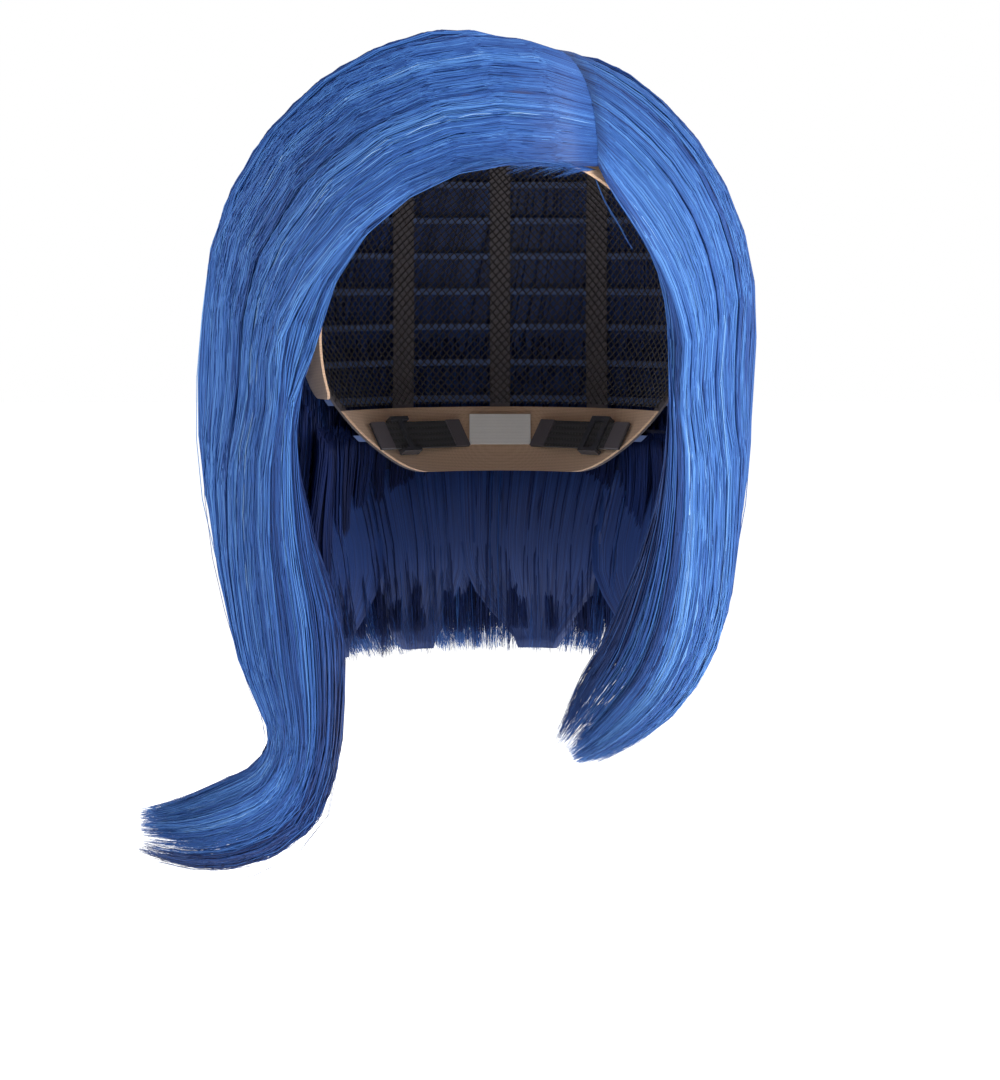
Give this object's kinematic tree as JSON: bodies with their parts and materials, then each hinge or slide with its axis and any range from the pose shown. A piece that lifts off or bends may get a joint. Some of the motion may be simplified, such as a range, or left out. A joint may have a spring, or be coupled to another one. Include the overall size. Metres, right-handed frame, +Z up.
{
  "type": "costume wig",
  "caption": "Blue side-parted costume bob wig on a stretch net cap, with one long flicked front lock and a shorter one.",
  "frame": {"origin": "middle of the cap's head opening, at the level of the headband", "axes": "+Z up towards the crown; the wearer looks along -Y; +X is the wearer's left"},
  "size_m": [0.2311, 0.2207, 0.3098],
  "materials": {
    "hair_fibre": "satin",
    "under_hair_fibre": "satin",
    "skin_lining": "matte",
    "cap_net": "matte",
    "cap_tape": "matte",
    "weft_tape": "matte",
    "elastic": "matte",
    "slider_plastic": "gloss",
    "stay_plastic": "matte",
    "label_cloth": "matte"
  },
  "bodies": {
    "cap": {"adjuster_strap_left": "elastic", "adjuster_strap_right": "elastic", "back_left": "hair_fibre", "back_right": "hair_fibre", "care_label": "label_cloth", "crown_fan": "hair_fibre", "crown_net": "cap_net", "crown_ring": "cap_tape", "crown_wefts": "weft_tape", "ear_binding_left": "cap_tape", "ear_binding_right": "cap_tape", "ear_tab_left": "skin_lining", "ear_tab_right": "skin_lining", "ear_tab_stay_left": "stay_plastic", "ear_tab_stay_right": "stay_plastic", "front_band": "skin_lining", "left_side": "hair_fibre", "left_sweep": "hair_fibre", "nape_band": "skin_lining", "nape_binding": "cap_tape", "nape_under_centre": "under_hair_fibre", "nape_under_left": "under_hair_fibre", "nape_under_right": "under_hair_fibre", "rib_centre": "cap_tape", "rib_left": "cap_tape", "rib_right": "cap_tape", "right_side": "hair_fibre", "right_sweep": "hair_fibre", "skin_part": "skin_lining", "strap_anchors_left": "cap_tape", "strap_anchors_right": "cap_tape", "sweep_wefts_left": "weft_tape", "sweep_wefts_right": "weft_tape", "weft_track_1": "weft_tape", "weft_track_2": "weft_tape", "weft_track_3": "weft_tape", "weft_track_4": "weft_tape", "weft_track_5": "weft_tape", "weft_track_6": "weft_tape", "weft_track_7": "weft_tape", "weft_track_8": "weft_tape"},
    "long_lock": {"long_lock": "hair_fibre"},
    "short_lock": {"short_lock": "hair_fibre"},
    "slider_right": {"adjuster_slider_right": "slider_plastic"},
    "slider_left": {"adjuster_slider_left": "slider_plastic"}
  },
  "joints": [
    {"name": "long_lock_swing", "type": "hinge", "parent": "cap", "child": "long_lock", "pos_m": [-0.09, -0.045, -0.06], "axis": [0, 1, 0], "range_deg": [-3, 25], "stiffness_Nm_per_rad": 0.06},
    {"name": "short_lock_swing", "type": "hinge", "parent": "cap", "child": "short_lock", "pos_m": [0.071, -0.045, -0.06], "axis": [0, -1, 0], "range_deg": [-3, 22], "stiffness_Nm_per_rad": 0.06},
    {"name": "slider_right_travel", "type": "slide", "parent": "cap", "child": "slider_right", "axis": [0.7461, 0.6658, 0], "range_m": [0, 0.016]},
    {"name": "slider_left_travel", "type": "slide", "parent": "cap", "child": "slider_left", "axis": [-0.7461, 0.6658, 0], "range_m": [0, 0.016]}
  ]
}
